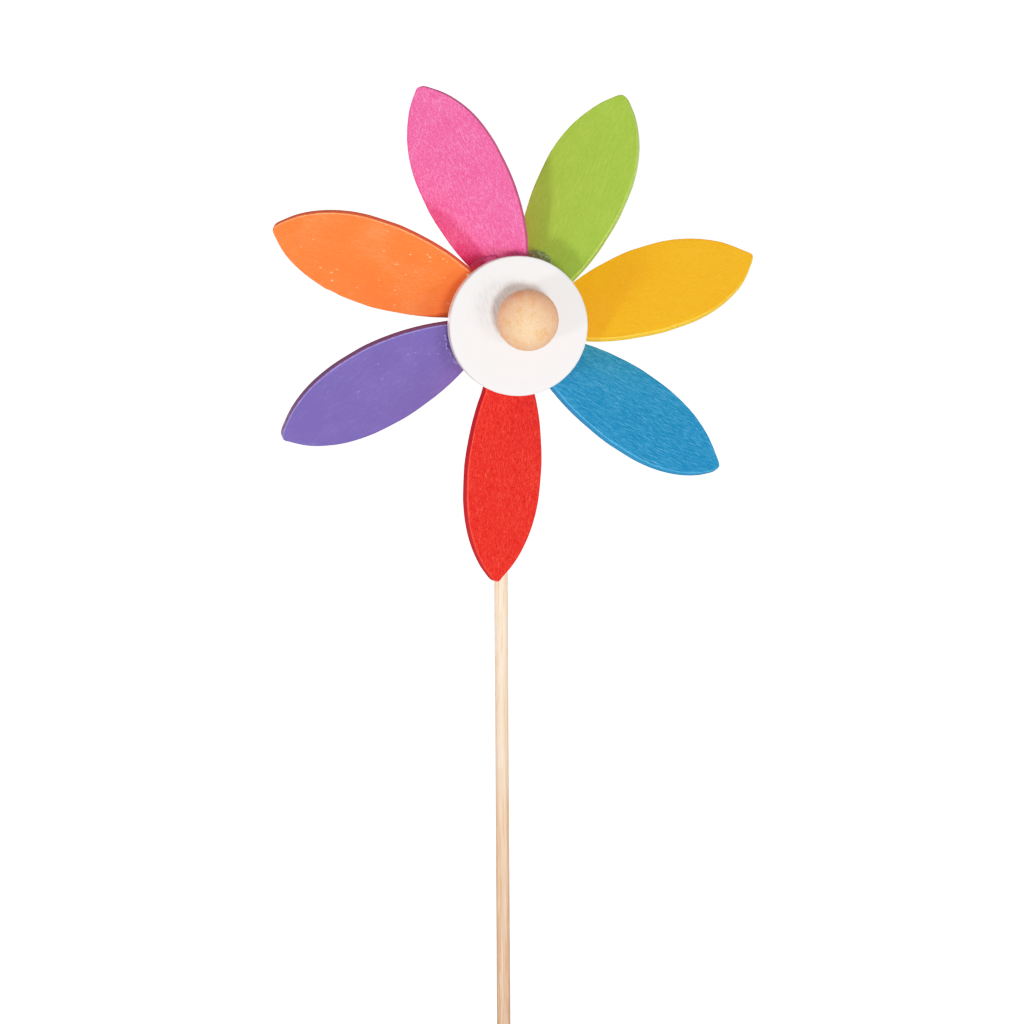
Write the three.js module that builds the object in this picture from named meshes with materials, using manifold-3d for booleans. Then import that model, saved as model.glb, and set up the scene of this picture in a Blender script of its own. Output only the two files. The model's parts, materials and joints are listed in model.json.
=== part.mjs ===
// Garden wind spinner: seven flat wooden petals set in the rim of a round wooden hub,
// which runs slack on a steel pin between a wooden nose ball and a ball-headed stem.
// Units are millimetres. +Z is up along the stem, the rotor faces -Y, and the origin is
// the centre of the stem's foot.

import * as THREE from 'three';
import { mergeVertices } from 'three/addons/utils/BufferGeometryUtils.js';
import Module from 'manifold-3d';

const RAD = Math.PI / 180;

// ---------------------------------------------------------------- stand dimensions
const PIN_HEIGHT = 300;          // pin axis above the foot of the stem
const STEM_R = 2.6;              // turned dowel
const STEM_CHAMFER = 0.5;
const STEM_TOP_GAP = 2.9;        // top of the dowel below the pin axis

const BALL_R = 11;               // head ball and nose ball are the same turned ball
const BALL_STEPS = 18;           // facets of the ball's profile
const BALL_SEGMENTS = 36;
const NOSE_Y = 53.37;            // nose ball centre in front of the stem axis
const NOSE_HOLE_DEPTH = 14.4;    // from the back of the nose ball

const PIN_R = 1.5;               // steel pin
const PIN_CHAMFER = 0.3;
const PIN_BACK = 6.8;            // pin end inside the head ball, behind the stem axis
const PIN_FRONT = 56.4;          // pin end inside the nose ball, in front of the stem axis
const PIN_HOLE_R = 1.62;         // drilled holes in the two balls

const HOLE_END_GAP = 0.3;        // between the pin or dowel and its hole's end in the head ball
const HEAD_HOLE_BACK = PIN_BACK + HOLE_END_GAP;
const SOCKET_R = 2.75;           // blind socket for the dowel, under the head ball
const SOCKET_TOP_GAP = STEM_TOP_GAP - HOLE_END_GAP;
const SOCKET_CUT = 15;           // length of the socket's cutter
const DRILL_OVERRUN = 5;         // pin hole's cutter in front of the head ball

// Loose spacer bead between head ball and hub; back and front are ahead of the stem axis.
const SPACER = { bore: 1.6, outer: 4.5, back: 11.25, front: 18.05 };
const SPACER_ROUND = 1.6;

// ---------------------------------------------------------------- hub dimensions
// The hub is a slotted core with a wider disc glued on its front. Both share one slack
// bore, so the hub hangs over on the pin. Z below is along the hub, 0 at its middle.
const HUB_HALF = 11.25;          // half the hub's length
const HUB_BORE_R = 3.2;
const DISC_R = 25;
const DISC_BACK = 3.75;
const DISC_FRONT_ROUND = 1.2;
const DISC_BACK_ROUND = 0.8;
const CORE_R = 19;
const CORE_BACK = -HUB_HALF;
const CORE_FRONT = DISC_BACK - 0.1;
const CORE_BACK_ROUND = 0.8;
const CORE_FRONT_ROUND = 0.3;
const HUB_Y = 30.476;            // middle of the hub in front of the stem axis
const HUB_X = -0.3;              // and beside the pin's axis, within the slack of the bore
const HUB_YAW = -2.853 * RAD;    // how the slack hub hangs relative to the pin
const HUB_NOD = 6.279 * RAD;
const HUB_ROLL = 0.125 * RAD;

// ---------------------------------------------------------------- petal dimensions
const PETAL_T = 3;
const PETAL_Z = (CORE_BACK + DISC_BACK) / 2;  // petals' middle planes, midway behind the disc
const PETAL_CHAMFER = 0.45;
const ROOT = 12.5;               // length of petal inside the disc's rim
const ROOT_HALF = 6.95;          // half width at the root's end
const SLOT_GAP = 0.13;
const SLOT_END_GAP = 0.35;
const SLOT_OVERRUN = 4;          // slot's cutter beyond the disc's rim

// [fraction of the free length from the disc's rim to the tip, half width there]
const OUTLINE = [
  [0.00, 11.46], [0.06, 13.04], [0.12, 14.33], [0.185, 15.45], [0.25, 16.29], [0.32, 17.01],
  [0.40, 17.43], [0.475, 17.32], [0.55, 17.06], [0.625, 16.29], [0.70, 14.96], [0.76, 13.44],
  [0.82, 11.38], [0.87, 9.25], [0.92, 6.48], [0.96, 3.75], [0.98, 2.32],
];
// The same columns. The last half width is the chamfer's, so the inset outline ends in a point.
const TIP_ROUND = [[0.9915, 1.45], [0.9968, 0.98], [1.0, PETAL_CHAMFER]];
const RIM_HALF = OUTLINE[0][1];

// The petals are sawn by hand, so each side of each petal stands off the common outline.
// SIDE_AT: fractions of the free length. fore and aft in PETALS: mm added to the half width
// there, on the side towards +Y of the petal and on the other one. From SEAT inside the rim
// to its end, the root keeps the common shape, so that it fits its slot.
const SIDE_AT = [0, 0.12, 0.25, 0.4, 0.6, 0.76, 0.87, 0.94, 0.98];
const SEAT = 5;

// Petals clockwise from the bottom as seen from the front. angle: place round the hub
// (degrees from +X towards up). lean: in-plane lean of the petal, so its middle line
// passes beside the hub's axis. pitch: twist out of the hub's plane. tip: tip radius.
const PETALS = [
  { name: 'petal_red',    color: 0xe5392f, angle:  -95.18, lean:  3.13, pitch: 31.81, tip: 94.15,
    fore: [1.1, 0.95, 0.7, 0.55, 0.5, 0.4, 0.3, 0.25, -0.1],
    aft: [-0.4, -0.4, -0.35, -0.25, -0.1, 0.1, 0.4, 0.8, 0.95] },
  { name: 'petal_purple', color: 0x8371bb, angle: -160.61, lean: 10.73, pitch: 30.53, tip: 93.44,
    fore: [0.4, 0.4, 0.4, 0.55, 0.8, 1, 1.1, 1.15, 0.75],
    aft: [0.3, 0.25, 0.3, 0.2, -0.1, -0.05, 0.1, 0.35, 0.65] },
  { name: 'petal_orange', color: 0xfe8a46, angle: -209.40, lean: 11.89, pitch: 31.35, tip: 93.65,
    fore: [0, -0.15, -0.15, 0.15, 0.35, 0.65, 1.05, 1.2, 0.9],
    aft: [0.2, 0.2, 0.15, 0.1, 0.1, 0.05, 0.2, 0.4, 0.4] },
  { name: 'petal_pink',   color: 0xf773ac, angle: -257.62, lean: 14.27, pitch: 31.50, tip: 92.65,
    fore: [-0.2, -0.2, -0.25, -0.1, 0.25, 0.45, 0.55, 0.95, 0.7],
    aft: [0.8, 0.8, 0.6, 0.25, 0.2, 0.45, 0.55, 0.65, 0.5] },
  { name: 'petal_green',  color: 0xabc74c, angle: -301.23, lean:  8.29, pitch: 31.51, tip: 92.75,
    fore: [0.85, 0.85, 0.45, 0.15, 0.25, 0.25, 0.2, 0.5, 0.4],
    aft: [0.35, 0.25, 0.1, 0.15, 0.45, 0.65, 0.8, 1.05, 1.1] },
  { name: 'petal_yellow', color: 0xfbbc2b, angle: -350.10, lean:  9.25, pitch: 31.46, tip: 93.60,
    fore: [-0.2, -0.2, -0.15, 0, 0.1, 0.15, 0.15, -0.1, -0.15],
    aft: [0.65, 0.45, 0.25, 0.3, 0.5, 0.7, 0.95, 0.95, 0.65] },
  { name: 'petal_blue',   color: 0x3294c0, angle: -398.88, lean:  7.62, pitch: 33.05, tip: 94.30,
    fore: [0.7, 0.5, 0.25, 0.1, -0.05, 0.15, 0.2, 0.15, 0.25],
    aft: [0.1, 0, -0.15, -0.1, 0.1, 0.2, 0.45, 0.9, 0.95] },
];

// ---------------------------------------------------------------- finishes
const FINISH = {
  stem:   { color: 0xf0d7be, roughness: 0.6 },
  ball:   { color: 0xf0c396, roughness: 0.55 },
  steel:  { color: 0xb9bcc0, roughness: 0.3, metalness: 1 },
  spacer: { color: 0xe9c9a2, roughness: 0.6 },
  disc:   { color: 0xf8f4f3, roughness: 0.55 },
  core:   { color: 0xe8cda6, roughness: 0.6 },
};
const PETAL_ROUGHNESS = 0.5;

function mesh(name, geometry, finish) {
  const piece = new THREE.Mesh(geometry, new THREE.MeshStandardMaterial(finish));
  piece.name = name;
  return piece;
}

// ---------------------------------------------------------------- solids for cutting
const wasm = await Module();
wasm.setup();

function solid(geometry, matrix = new THREE.Matrix4()) {
  geometry.deleteAttribute('normal');
  geometry.deleteAttribute('uv');
  geometry.applyMatrix4(matrix);
  const welded = mergeVertices(geometry, 1e-4);
  return new wasm.Manifold(new wasm.Mesh({
    numProp: 3,
    vertProperties: new Float32Array(welded.attributes.position.array),
    triVerts: new Uint32Array(welded.index.array),
  }));
}

function geometryOf(body) {
  const { vertProperties, triVerts } = body.getMesh();
  const geometry = new THREE.BufferGeometry();
  geometry.setAttribute('position',
    new THREE.BufferAttribute(new Float32Array(vertProperties), 3));
  geometry.setIndex(new THREE.BufferAttribute(new Uint32Array(triVerts), 1));
  geometry.computeVertexNormals();
  return geometry;
}

// ---------------------------------------------------------------- turned shapes
const vectors = (points) => points.map(([x, y]) => new THREE.Vector2(x, y));

// A solid of revolution about Z from [radius, z] pairs.
function turned(profile, segments) {
  return new THREE.LatheGeometry(vectors(profile), segments).rotateX(90 * RAD);
}

// Profile points on an arc about (centreR, centreZ), between two angles in degrees.
function arc(centreR, centreZ, radius, from, to, steps) {
  return Array.from({ length: steps + 1 }, (_, i) => {
    const angle = (from + (to - from) * i / steps) * RAD;
    return [centreR + radius * Math.cos(angle), centreZ + radius * Math.sin(angle)];
  });
}

// A rod along Z, chamfered at both ends.
function rod({ radius, chamfer, back, front, segments }) {
  return turned([
    [0, back], [radius - chamfer, back], [radius, back + chamfer],
    [radius, front - chamfer], [radius - chamfer, front], [0, front],
  ], segments);
}

// A bored disc about Z with rounded outer edges.
function ring({ bore, outer, back, front, backRound, frontRound, frontSteps, segments }) {
  return turned([
    [bore, back],
    ...arc(outer - backRound, back + backRound, backRound, -90, 0, 3),
    ...arc(outer - frontRound, front - frontRound, frontRound, 0, 90, frontSteps),
    [bore, front], [bore, back],
  ], segments);
}

// The ball's profile from an angle in degrees up to its pole, which lies exactly on the axis.
function ballArc(from) {
  return [...arc(0, 0, BALL_R, from, 90, BALL_STEPS).slice(0, -1), [0, BALL_R]];
}

// ---------------------------------------------------------------- stand
function stem() {
  return mesh('stem', rod({
    radius: STEM_R, chamfer: STEM_CHAMFER,
    back: 0, front: PIN_HEIGHT - STEM_TOP_GAP, segments: 36,
  }), FINISH.stem);
}

// The head ball has a pin hole from the front (-Y) and a dowel socket from below.
function headBall() {
  const ball = turned([[0, -BALL_R], ...ballArc(-90).slice(1)], BALL_SEGMENTS);

  const holeFront = BALL_R + DRILL_OVERRUN;
  const pinHole = new THREE.CylinderGeometry(
    PIN_HOLE_R, PIN_HOLE_R, holeFront + HEAD_HOLE_BACK, 24);
  pinHole.translate(0, (HEAD_HOLE_BACK - holeFront) / 2, 0);

  const socket = new THREE.CylinderGeometry(SOCKET_R, SOCKET_R, SOCKET_CUT, 36);
  socket.rotateX(90 * RAD);
  socket.translate(0, 0, -SOCKET_TOP_GAP - SOCKET_CUT / 2);

  const body = solid(ball).subtract(solid(pinHole)).subtract(solid(socket));
  const piece = mesh('head_ball', geometryOf(body), FINISH.ball);
  piece.position.set(0, 0, PIN_HEIGHT);
  return piece;
}

function pin() {
  return mesh('pin', rod({
    radius: PIN_R, chamfer: PIN_CHAMFER, back: -PIN_BACK, front: PIN_FRONT, segments: 24,
  }), FINISH.steel);
}

function noseBall() {
  const mouthAngle = Math.asin(PIN_HOLE_R / BALL_R) / RAD;
  const holeEnd = -BALL_R + NOSE_HOLE_DEPTH;
  const profile = [[0, holeEnd], [PIN_HOLE_R, holeEnd], ...ballArc(-90 + mouthAngle)];
  const piece = mesh('nose_ball', turned(profile, BALL_SEGMENTS), FINISH.ball);
  piece.position.set(0, 0, NOSE_Y);
  return piece;
}

function spacerBead() {
  return mesh('spacer_bead', ring({
    ...SPACER, backRound: SPACER_ROUND, frontRound: SPACER_ROUND, frontSteps: 3, segments: 32,
  }), FINISH.spacer);
}

function makeStand() {
  // Turned pieces on the pin are drawn about Z, then laid along -Y.
  const pinLine = new THREE.Group();
  pinLine.position.set(0, 0, PIN_HEIGHT);
  pinLine.rotation.set(90 * RAD, 0, 0);
  pinLine.add(pin(), noseBall(), spacerBead());

  return new THREE.Group().add(stem(), headBall(), pinLine);
}

// ---------------------------------------------------------------- petals and slots
// A flat shape along X from two rows of [x, half width], root first: aft on -Y, fore on +Y.
function flatShape(aft, fore) {
  const points = [...aft.map(([x, half]) => [x, -half]), ...fore.toReversed()];
  const shape = new THREE.Shape(vectors(points));
  shape.closePath();
  return shape;
}

// Linear interpolation in a side's allowances at a fraction of the free length.
function allowance(extra, fraction) {
  const i = Math.max(1, SIDE_AT.findIndex((station) => station >= fraction));
  const share = (fraction - SIDE_AT[i - 1]) / (SIDE_AT[i] - SIDE_AT[i - 1]);
  return extra[i - 1] + (extra[i] - extra[i - 1]) * share;
}

// The petal is drawn inset by its chamfer, which the bevel then adds back.
function petalGeometry({ tip, fore, aft }) {
  const inset = PETAL_CHAMFER;
  const length = tip - DISC_R - inset;
  const seatHalf = ROOT_HALF + (RIM_HALF - ROOT_HALF) * (ROOT - SEAT) / ROOT;
  const side = (extra) => [
    [-ROOT + inset, ROOT_HALF - inset],
    [-SEAT, seatHalf - inset],
    ...OUTLINE.map(([at, half]) => [at * length, half + allowance(extra, at) - inset]),
    ...TIP_ROUND.map(([at, half]) => [at * length, half - inset]),
  ];
  // Both sides end in the same tip point, so one of them leaves it out.
  const geometry = new THREE.ExtrudeGeometry(flatShape(side(aft), side(fore).slice(0, -1)), {
    depth: PETAL_T - 2 * inset, steps: 1, curveSegments: 1,
    bevelEnabled: true, bevelThickness: inset, bevelSize: inset, bevelOffset: 0,
    bevelSegments: 1,
  });
  return geometry.translate(0, 0, -PETAL_T / 2 + inset);
}

// A slot follows the common root outline, with clearance all round.
function slotGeometry() {
  const side = [
    [-ROOT - SLOT_END_GAP, ROOT_HALF + SLOT_GAP],
    [0, RIM_HALF + SLOT_GAP],
    [SLOT_OVERRUN, RIM_HALF + SLOT_GAP],
  ];
  const depth = PETAL_T + 2 * SLOT_GAP;
  const geometry = new THREE.ExtrudeGeometry(flatShape(side, side), {
    depth, steps: 1, bevelEnabled: false,
  });
  return geometry.translate(0, 0, -depth / 2);
}

// ---------------------------------------------------------------- rotor
function hubDisc() {
  return mesh('hub_disc', ring({
    bore: HUB_BORE_R, outer: DISC_R, back: DISC_BACK, front: HUB_HALF,
    backRound: DISC_BACK_ROUND, frontRound: DISC_FRONT_ROUND, frontSteps: 4, segments: 72,
  }), FINISH.disc);
}

function coreBlank() {
  return solid(ring({
    bore: HUB_BORE_R, outer: CORE_R, back: CORE_BACK, front: CORE_FRONT,
    backRound: CORE_BACK_ROUND, frontRound: CORE_FRONT_ROUND, frontSteps: 4, segments: 60,
  }));
}

function makeRotor() {
  const rotor = new THREE.Group();
  rotor.rotation.set(0, 0, HUB_ROLL);
  rotor.add(hubDisc());

  let core = coreBlank();
  for (const spec of PETALS) {
    const { name, color, angle, lean, pitch } = spec;
    const petal = mesh(name, petalGeometry(spec), { color, roughness: PETAL_ROUGHNESS });
    petal.rotation.set(0, 0, lean * RAD);

    const plane = new THREE.Group().add(petal);
    plane.position.set(DISC_R, 0, PETAL_Z);
    plane.rotation.set(-pitch * RAD, 0, 0);

    const spoke = new THREE.Group().add(plane);
    spoke.rotation.set(0, 0, angle * RAD);

    // While the spoke has no parent, the petal's world matrix is its place in the hub's frame.
    spoke.updateMatrixWorld();
    core = core.subtract(solid(slotGeometry(), petal.matrixWorld));
    rotor.add(spoke);
  }
  rotor.add(mesh('hub_core', geometryOf(core), FINISH.core));
  return rotor;
}

// Lays the rotor's Z along -Y, hanging askew on the pin.
function hungRotor() {
  const hang = new THREE.Group();
  hang.position.set(HUB_X, -HUB_Y, PIN_HEIGHT);
  hang.rotation.order = 'ZXY';
  hang.rotation.set(90 * RAD + HUB_NOD, 0, HUB_YAW);
  return hang.add(makeRotor());
}

// ---------------------------------------------------------------- whole spinner
const spinner = new THREE.Group();
spinner.add(makeStand(), hungRotor());

export default spinner;
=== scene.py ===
"""Garden wind spinner: seven painted ply petals and a white disc turning on a wooden stand.

Z is up, the stem stands on the Z axis and -Y is the front, where the camera is.
The rotor turns about the axis of the joint rotor_spin. Shapes are worked out in mm
and turned into metres in to_mesh; the stage, lights and camera are in metres.
"""

import json
import math

import bmesh
import bpy
import numpy as np
from mathutils import Matrix, Vector


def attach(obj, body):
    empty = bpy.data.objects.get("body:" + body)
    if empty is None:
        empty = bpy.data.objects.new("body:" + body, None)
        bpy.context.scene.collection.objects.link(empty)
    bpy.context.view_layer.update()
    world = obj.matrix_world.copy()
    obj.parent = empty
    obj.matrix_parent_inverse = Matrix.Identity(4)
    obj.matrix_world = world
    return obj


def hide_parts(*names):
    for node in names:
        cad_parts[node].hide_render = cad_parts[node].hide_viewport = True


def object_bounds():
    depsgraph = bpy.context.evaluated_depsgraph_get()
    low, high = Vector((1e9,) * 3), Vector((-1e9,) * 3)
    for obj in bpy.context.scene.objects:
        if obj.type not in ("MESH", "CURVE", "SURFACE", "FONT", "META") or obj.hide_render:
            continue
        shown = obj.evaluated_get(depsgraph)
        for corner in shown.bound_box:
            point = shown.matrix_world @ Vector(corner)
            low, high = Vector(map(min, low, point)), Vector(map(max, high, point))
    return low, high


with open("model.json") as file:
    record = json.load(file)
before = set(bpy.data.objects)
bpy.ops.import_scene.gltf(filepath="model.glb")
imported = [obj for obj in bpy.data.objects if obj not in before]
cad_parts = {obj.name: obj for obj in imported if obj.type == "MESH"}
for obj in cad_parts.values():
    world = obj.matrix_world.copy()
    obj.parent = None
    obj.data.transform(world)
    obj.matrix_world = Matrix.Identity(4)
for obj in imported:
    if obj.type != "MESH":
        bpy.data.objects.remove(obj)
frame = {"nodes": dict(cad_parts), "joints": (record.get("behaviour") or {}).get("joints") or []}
cad_lo, cad_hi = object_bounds()
NODES = frame["nodes"]
MM = 0.001
SPIN = next(joint for joint in frame["joints"] if joint["name"] == "rotor_spin")
HUB = np.array(SPIN["pos_m"], float) / MM
AXIS = np.array(SPIN["axis"], float)
AXIS /= np.linalg.norm(AXIS)
FRONT = np.array([0.0, -1.0, 0.0])
UP = np.array([0.0, 0.0, 1.0])
TURN = 6.2832  # a full turn, as the waves use it

# the camera's own directions and its place, in metres
CAM_RIGHT = Vector((0.98111875, -0.19330532, -0.00624836))
CAM_UP = Vector((0.00483821, -0.00776615, 0.99995814))
CAM_BACK = Vector((-0.19334576, -0.98110791, -0.00668425))
CAM_PLACE = Vector((-0.19700230864, -1.02175790055, 0.22564354531))


# ------------------------------------------------------------------ numbers and curves
def srgb(*channels):
    """Linear colour from 0..255 screen values."""
    scaled = [channel / 255.0 for channel in channels]
    return tuple(v / 12.92 if v <= 0.04045 else ((v + 0.055) / 1.055) ** 2.4 for v in scaled)


def hash01(*keys):
    """A repeatable number in 0..1 from integers (FNV steps with extra mixing)."""
    state = 2166136261
    for key in keys:
        state = ((state ^ (int(key) & 0xFFFFFFFF)) * 16777619) & 0xFFFFFFFF
        state ^= state >> 13
        state = (state * 0x5BD1E995) & 0xFFFFFFFF
        state ^= state >> 15
    return state / 4294967295.0


def wobble(seed, count, slowest, fastest):
    """A smooth periodic function of an angle, about unit size, from count sine waves."""
    waves = []
    for i in range(count):
        cycles = slowest + int(hash01(seed, i, 1) * (fastest - slowest + 1))
        waves.append((cycles, hash01(seed, i, 2) * TURN, 0.4 + 0.6 * hash01(seed, i, 3)))
    total = sum(size for _, _, size in waves)

    def value(angle):
        return sum(size * np.sin(k * angle + phase) for k, phase, size in waves) / total

    return value


def field(seed, count, shortest, longest):
    """A smooth function of two coordinates in mm, about unit size; wavelengths in mm."""
    waves = []
    for i in range(count):
        heading = hash01(seed, i, 11) * TURN
        length = shortest + hash01(seed, i, 12) * (longest - shortest)
        waves.append((math.cos(heading) * TURN / length, math.sin(heading) * TURN / length,
                      hash01(seed, i, 13) * TURN))

    def value(x, y):
        return sum(np.sin(kx * x + ky * y + phase) for kx, ky, phase in waves) / math.sqrt(count)

    return value


def pchip(x, y, where):
    """Monotone cubic interpolation."""
    step, slope = np.diff(x), np.diff(y) / np.diff(x)
    tangent = np.zeros(len(x))
    for i in range(1, len(x) - 1):
        if slope[i - 1] * slope[i] > 0:
            before, after = 2 * step[i] + step[i - 1], step[i] + 2 * step[i - 1]
            tangent[i] = (before + after) / (before / slope[i - 1] + after / slope[i])
    tangent[0], tangent[-1] = slope[0], slope[-1]
    i = np.clip(np.searchsorted(x, where) - 1, 0, len(x) - 2)
    part = (where - x[i]) / step[i]
    return (
        (1 + 2 * part) * (1 - part) ** 2 * y[i]
        + part * (1 - part) ** 2 * step[i] * tangent[i]
        + part * part * (3 - 2 * part) * y[i + 1]
        + part * part * (part - 1) * step[i] * tangent[i + 1]
    )


# ------------------------------------------------------------------ meshes and CAD pieces
def to_mesh(name, verts_mm, faces, attributes=None):
    """A smooth-shaded object from mm coordinates, with optional per-point attributes."""
    mesh = bpy.data.meshes.new(name)
    mesh.from_pydata((np.asarray(verts_mm, float) * MM).tolist(), [], faces)
    mesh.validate()
    mesh.update()
    ob = bpy.data.objects.new(name, mesh)
    bpy.context.scene.collection.objects.link(ob)
    for key, values in (attributes or {}).items():
        values = np.asarray(values, np.float32)
        if values.ndim == 2:
            layer = mesh.attributes.new(key, "FLOAT_VECTOR", "POINT")
            layer.data.foreach_set("vector", values.ravel())
        else:
            layer = mesh.attributes.new(key, "FLOAT", "POINT")
            layer.data.foreach_set("value", values)
    editor = bmesh.new()
    editor.from_mesh(mesh)
    bmesh.ops.recalc_face_normals(editor, faces=editor.faces)
    editor.to_mesh(mesh)
    editor.free()
    mesh.polygons.foreach_set("use_smooth", [True] * len(mesh.polygons))
    mesh.update()
    return ob


def stand_in(ob, part, node):
    """Let ob move with a part, in the place of a CAD node."""
    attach(ob, part)
    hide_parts(node)


def dress(node, material):
    """Give a CAD piece one material."""
    materials = NODES[node].data.materials
    materials.clear()
    materials.append(material)


def cad_points(node):
    """Distinct vertices of a CAD node, in mm."""
    points = np.array([v.co for v in NODES[node].data.vertices], float) / MM
    _, keep = np.unique(np.round(points, 3), axis=0, return_index=True)
    return points[np.sort(keep)]


def cad_extent(node, origin, axis):
    """Lowest and highest place along an axis, then largest and smallest radius, in mm."""
    points = cad_points(node) - np.array(origin)
    height = points @ axis
    radius = np.linalg.norm(points - np.outer(height, axis), axis=1)
    return height.min(), height.max(), radius.max(), radius.min()


# ------------------------------------------------------------------ shader building
class Shader:
    """Builds a node tree; most methods return the output socket of what they add."""

    def __init__(self, tree):
        self.tree = tree
        tree.nodes.clear()

    def node(self, kind):
        return self.tree.nodes.new("ShaderNode" + kind)

    def link(self, source, socket):
        """Source is a socket, a number or a tuple; a colour gets full alpha."""
        if isinstance(source, (int, float)):
            socket.default_value = source
        elif isinstance(source, tuple):
            is_colour = len(source) == 3 and len(socket.default_value) == 4
            socket.default_value = (*source, 1.0) if is_colour else source
        else:
            self.tree.links.new(source, socket)

    def attribute(self, name, output="Fac"):
        node = self.node("Attribute")
        node.attribute_name = name
        return node.outputs[output]

    def object_mm(self):
        """Object coordinates in mm."""
        return self.vector_math("SCALE", self.node("TexCoord").outputs["Object"], scale=1000.0)

    def vector_math(self, operation, first, second=None, scale=None):
        node = self.node("VectorMath")
        node.operation = operation
        self.link(first, node.inputs[0])
        if second is not None:
            self.link(second, node.inputs[1])
        if scale is not None:
            node.inputs["Scale"].default_value = scale
        return node.outputs["Value" if operation == "LENGTH" else "Vector"]

    def math(self, operation, *values):
        node = self.node("Math")
        node.operation = operation
        for value, socket in zip(values, node.inputs):
            self.link(value, socket)
        return node.outputs[0]

    def plus(self, first, second):
        return self.math("ADD", first, second)

    def times(self, first, second):
        return self.math("MULTIPLY", first, second)

    def swing(self, noise, amount):
        """A noise centred on zero, times an amount."""
        return self.times(self.math("SUBTRACT", noise, 0.5), amount)

    def split(self, vector):
        node = self.node("SeparateXYZ")
        self.link(vector, node.inputs[0])
        return node.outputs

    def shift_along(self, vector, axis, amount):
        """Move a vector along one axis, named X, Y or Z."""
        node = self.node("CombineXYZ")
        self.link(amount, node.inputs[axis])
        return self.vector_math("ADD", vector, node.outputs[0])

    def mapping(self, vector, shift=(0, 0, 0), turn=(0, 0, 0), stretch=(1, 1, 1)):
        """Turned and shifted first, then stretched."""
        place = self.node("Mapping")
        self.link(vector, place.inputs["Vector"])
        place.inputs["Rotation"].default_value = turn
        place.inputs["Location"].default_value = shift
        scale = self.node("Mapping")
        self.link(place.outputs[0], scale.inputs["Vector"])
        scale.inputs["Scale"].default_value = stretch
        return scale.outputs[0]

    def noise(self, vector, scale=1.0, detail=2.0, rough=0.5, distort=0.0, output="Fac",
              **mapping):
        """Noise, through a mapping where shift, turn or stretch is given."""
        if mapping:
            vector = self.mapping(vector, **mapping)
        node = self.node("TexNoise")
        self.link(vector, node.inputs["Vector"])
        node.inputs["Scale"].default_value = scale
        node.inputs["Detail"].default_value = detail
        node.inputs["Roughness"].default_value = rough
        node.inputs["Distortion"].default_value = distort
        return node.outputs[output]

    def voronoi(self, vector, scale, feature="F1"):
        node = self.node("TexVoronoi")
        node.feature = feature
        self.link(vector, node.inputs["Vector"])
        node.inputs["Scale"].default_value = scale
        return node.outputs["Distance"]

    def mix(self, factor, first, second, mode="MIX"):
        node = self.node("Mix")
        node.data_type = "RGBA"
        node.blend_type = mode
        for value, index in ((factor, 0), (first, 6), (second, 7)):
            self.link(value, node.inputs[index])
        return node.outputs[2]

    def remap(self, value, span, to=(0, 1), clamp=True):
        """Carry the range span onto the range to."""
        node = self.node("MapRange")
        node.clamp = clamp
        for source, socket in zip((value, *span, *to), node.inputs):
            self.link(source, socket)
        return node.outputs[0]

    def gain(self, colour, factor):
        """Colour times a grey factor, which may pass 1."""
        grey = self.node("CombineColor")
        for i in range(3):
            self.link(factor, grey.inputs[i])
        return self.mix(1.0, colour, grey.outputs[0], "MULTIPLY")

    def bump(self, height, strength, depth_mm):
        node = self.node("Bump")
        node.inputs["Strength"].default_value = strength
        node.inputs["Distance"].default_value = depth_mm * MM
        self.link(height, node.inputs["Height"])
        return node.outputs[0]


class Material(Shader):
    """A material with one Principled surface."""

    def __init__(self, name):
        self.material = bpy.data.materials.new(name)
        self.material.use_nodes = True
        super().__init__(self.material.node_tree)
        self.surface = self.node("BsdfPrincipled")
        self.link(self.surface.outputs[0], self.node("OutputMaterial").inputs[0])

    def finish(self, **inputs):
        """Set surface inputs, named with _ for spaces, and return the material."""
        for key, value in inputs.items():
            self.link(value, self.surface.inputs[key.replace("_", " ")])
        return self.material


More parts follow.
